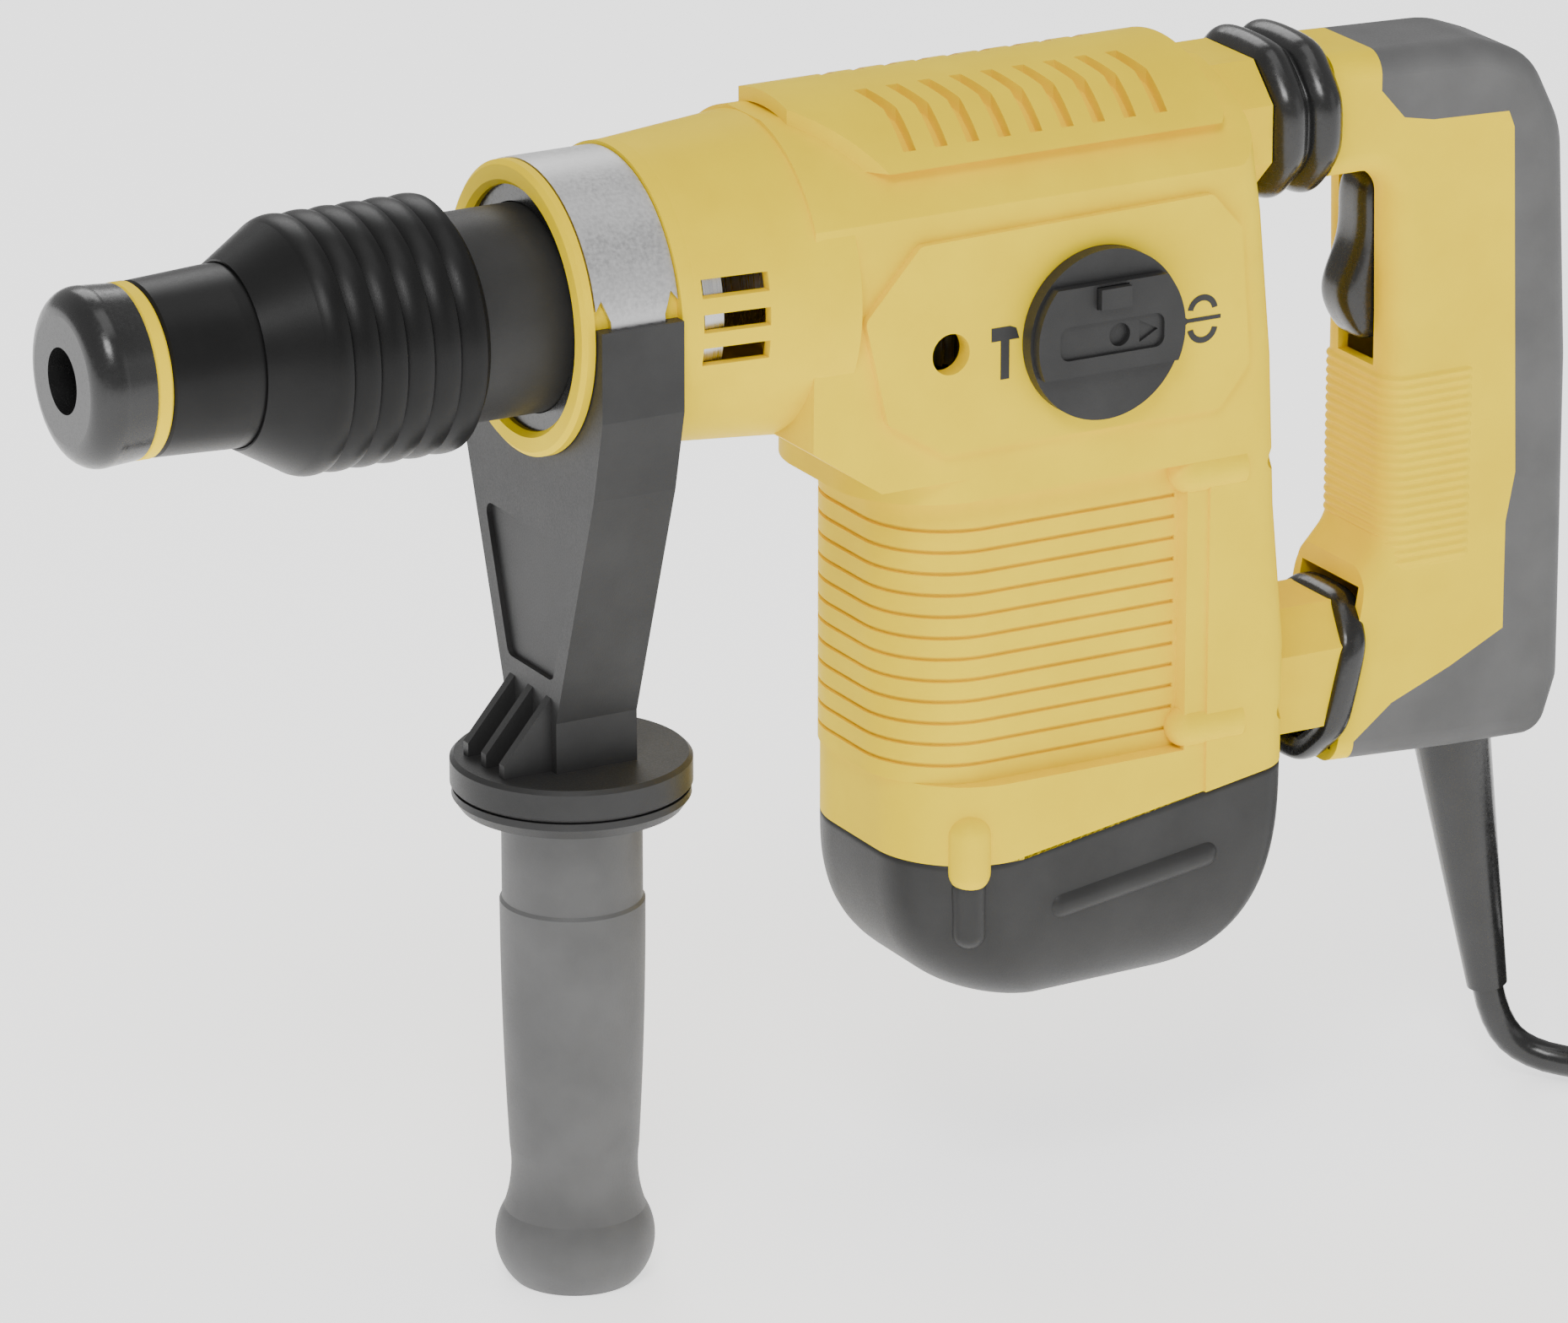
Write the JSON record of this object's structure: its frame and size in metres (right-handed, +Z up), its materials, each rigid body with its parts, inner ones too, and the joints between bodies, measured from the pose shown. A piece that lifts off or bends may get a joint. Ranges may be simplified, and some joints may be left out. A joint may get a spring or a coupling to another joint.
{
  "type": "demolition hammer",
  "caption": "Electric demolition hammer with ribbed tool holder, clamped side handle, rear D handle on bellows, mode dial and coiled mains cord.",
  "frame": {"origin": "middle of the rear grip", "axes": "+X runs from the tool holder back to the rear handle along the impact axis, +Z up, the dial side faces -Y"},
  "size_m": [0.663, 0.1536, 0.3442],
  "materials": {
    "yellow_plastic": "satin moulded",
    "black_plastic": "satin moulded",
    "sleeve_plastic": "satin",
    "soft_grip": "matt soft",
    "black_rubber": "smooth",
    "tie_strap": "woven",
    "band_steel": "bead blasted",
    "machined_steel": "ground",
    "core_iron": "laminated",
    "copper": "varnished",
    "carbon": "matt",
    "alloy": "as cast",
    "screw_steel": "blackened",
    "pin_metal": "nickel plated"
  },
  "bodies": {
    "rear_handle": {"left_handle_shell": "yellow_plastic", "right_handle_shell": "yellow_plastic", "handle_back": "soft_grip", "handle_pins": "machined_steel", "handle_screws": "screw_steel", "switch_module": "black_plastic", "strain_relief": "black_rubber", "bellows": "black_rubber", "arm_gasket": "black_rubber", "cord_tube": "black_rubber", "cord_coil": "black_rubber", "cord_tie": "tie_strap", "mains_plug": "black_rubber", "plug_pins": "pin_metal"},
    "power_unit": {"collar_ring": "yellow_plastic", "front_seal": "black_rubber", "front_bearing": "machined_steel", "hammer_tube": "machined_steel", "barrel_housing": "yellow_plastic", "vent_cover": "yellow_plastic", "left_side_cover": "yellow_plastic", "right_side_cover": "yellow_plastic", "motor_housing": "yellow_plastic", "rear_housing": "yellow_plastic", "pivot_arm": "black_plastic", "bottom_cap": "black_plastic", "gearcase": "alloy", "shaft_bearings": "machined_steel", "stator_core": "core_iron", "stator_windings": "copper", "brush_holders": "black_plastic", "carbon_brushes": "carbon", "body_screws": "screw_steel"},
    "tool_holder": {"dust_cap": "black_rubber", "cap_ring": "yellow_plastic", "front_sleeve": "sleeve_plastic", "spindle_tube": "machined_steel", "neck_cover": "black_plastic", "locking_rollers": "machined_steel", "sleeve_spring": "machined_steel"},
    "locking_sleeve": {"locking_sleeve": "sleeve_plastic"},
    "beat_piece": {"beat_piece": "machined_steel"},
    "striker": {"striker": "machined_steel"},
    "piston": {"piston": "machined_steel", "rod_pins": "machined_steel", "connecting_rod": "machined_steel"},
    "crank": {"crank_gear": "machined_steel"},
    "armature": {"armature_shaft": "machined_steel", "armature_core": "core_iron", "commutator": "copper", "cooling_fan": "black_plastic"},
    "side_handle": {"handle_bracket": "black_plastic"},
    "clamp": {"clamp_band": "band_steel", "clamp_bolt": "machined_steel"},
    "side_grip": {"clamp_nut": "machined_steel", "grip_core": "black_plastic", "grip_sleeve": "soft_grip"},
    "trigger": {"trigger": "black_plastic"},
    "mode_dial": {"mode_dial": "black_plastic"},
    "dial_lock": {"dial_lock_button": "black_plastic"}
  },
  "joints": [
    {"name": "handle_damper", "type": "hinge", "parent": "rear_handle", "child": "power_unit", "pos_m": [-0.026, 0, -0.068], "axis": [0, 1, 0], "range_deg": [0, 1.2], "stiffness_Nm_per_rad": 900, "springref_deg": -1.15, "deforming": ["bellows", "arm_gasket"]},
    {"name": "trigger_pull", "type": "hinge", "parent": "rear_handle", "child": "trigger", "pos_m": [-0.017, 0, 0.076], "axis": [0, -1, 0], "range_deg": [0, 6.5], "stiffness_Nm_per_rad": 4, "springref_deg": -2.86},
    {"name": "tool_holder_turn", "type": "hinge", "parent": "power_unit", "child": "tool_holder", "pos_m": [-0.438, 0, 0.08], "axis": [1, 0, 0], "continuous": true},
    {"name": "sleeve_pull", "type": "slide", "parent": "tool_holder", "child": "locking_sleeve", "axis": [1, 0, 0], "range_m": [0, 0.012], "stiffness_N_per_m": 1200, "springref_m": -0.008, "deforming": ["sleeve_spring"]},
    {"name": "beat_piece_slide", "type": "slide", "parent": "power_unit", "child": "beat_piece", "axis": [-1, 0, 0], "range_m": [0, 0.005]},
    {"name": "striker_slide", "type": "slide", "parent": "power_unit", "child": "striker", "axis": [-1, 0, 0], "range_m": [0, 0.015]},
    {"name": "piston_slide", "type": "slide", "parent": "power_unit", "child": "piston", "axis": [-1, 0, 0], "range_m": [0, 0.028]},
    {"name": "motor_turn", "type": "hinge", "parent": "power_unit", "child": "armature", "pos_m": [-0.146, 0, -0.02], "axis": [0, 0, 1], "continuous": true},
    {"name": "crank_turn", "type": "hinge", "parent": "power_unit", "child": "crank", "pos_m": [-0.176, 0, 0.056], "axis": [0, 0, 1], "continuous": true},
    {"name": "side_handle_swing", "type": "hinge", "parent": "power_unit", "child": "side_handle", "pos_m": [-0.2838, 0, 0.08], "axis": [1, 0, 0], "continuous": true},
    {"name": "grip_twist", "type": "hinge", "parent": "side_handle", "child": "side_grip", "pos_m": [-0.2838, 0, -0.12], "axis": [0, 0, 1], "range_deg": [0, 720]},
    {"name": "clamp_lift", "type": "slide", "parent": "side_handle", "child": "clamp", "axis": [0, 0, 1], "range_m": [0, 0.003]},
    {"name": "mode_dial_turn", "type": "hinge", "parent": "power_unit", "child": "mode_dial", "pos_m": [-0.1385, -0.046, 0.0615], "axis": [0, 1, 0], "range_deg": [0, 180]},
    {"name": "dial_lock_press", "type": "slide", "parent": "mode_dial", "child": "dial_lock", "axis": [0, 1, 0], "range_m": [0, 0.0025], "stiffness_N_per_m": 1500, "springref_m": -0.002}
  ],
  "couplings": [
    {"joint": "crank_turn", "follows": "motor_turn", "ratio": -0.15385},
    {"joint": "clamp_lift", "follows": "grip_twist", "m_per_rad": 0.00023873}
  ]
}
